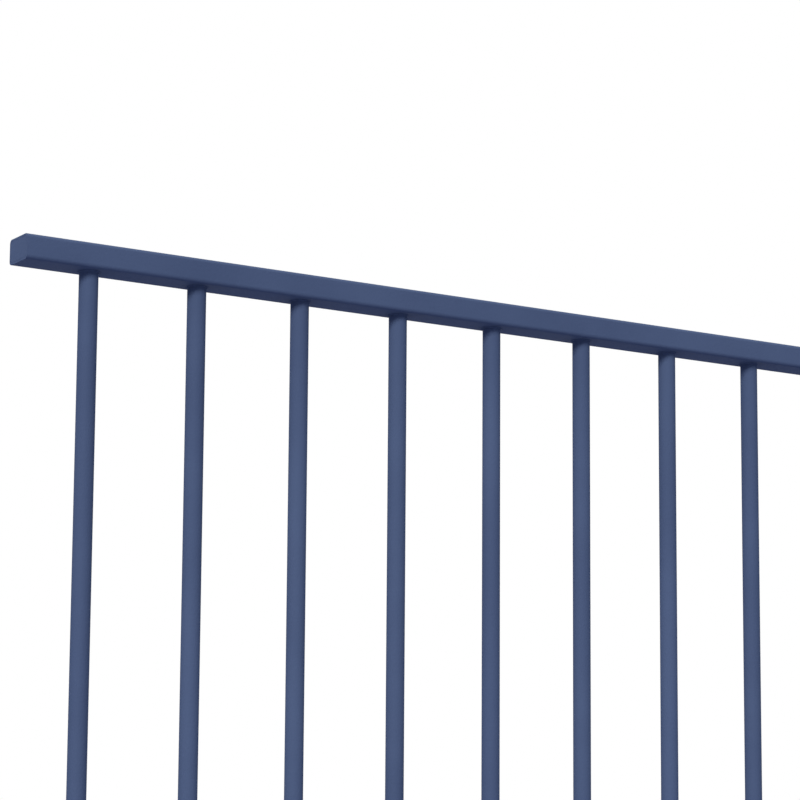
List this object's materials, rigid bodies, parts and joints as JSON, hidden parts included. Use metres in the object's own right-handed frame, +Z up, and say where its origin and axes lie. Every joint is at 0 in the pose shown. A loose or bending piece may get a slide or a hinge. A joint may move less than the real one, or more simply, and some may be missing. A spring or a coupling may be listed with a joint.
{
  "type": "steel bar fence panel",
  "caption": "Steel fence panel: upright round tubes welded between a top and a bottom rectangular hollow rail, held between posts by its rail ends.",
  "frame": {"origin": "middle of the bottom rail's left end face, which goes against a post", "axes": "+X along the panel from its left end, +Y through it from front to back, +Z up"},
  "size_m": [2.4, 0.04, 1.2],
  "materials": {
    "powder_coat": "matt slate-blue powder coat"
  },
  "bodies": {
    "root": {"bottom_rail": "powder_coat", "top_rail": "powder_coat", "bottom_left_end_plate": "powder_coat", "bottom_right_end_plate": "powder_coat", "top_left_end_plate": "powder_coat", "top_right_end_plate": "powder_coat", "bar_01": "powder_coat", "bar_02": "powder_coat", "bar_03": "powder_coat", "bar_04": "powder_coat", "bar_05": "powder_coat", "bar_06": "powder_coat", "bar_07": "powder_coat", "bar_08": "powder_coat", "bar_09": "powder_coat", "bar_10": "powder_coat", "bar_11": "powder_coat", "bar_12": "powder_coat", "bar_13": "powder_coat", "bar_14": "powder_coat", "bar_15": "powder_coat", "bar_16": "powder_coat", "bar_17": "powder_coat", "bar_18": "powder_coat", "bar_19": "powder_coat", "bar_20": "powder_coat"}
  },
  "joints": []
}
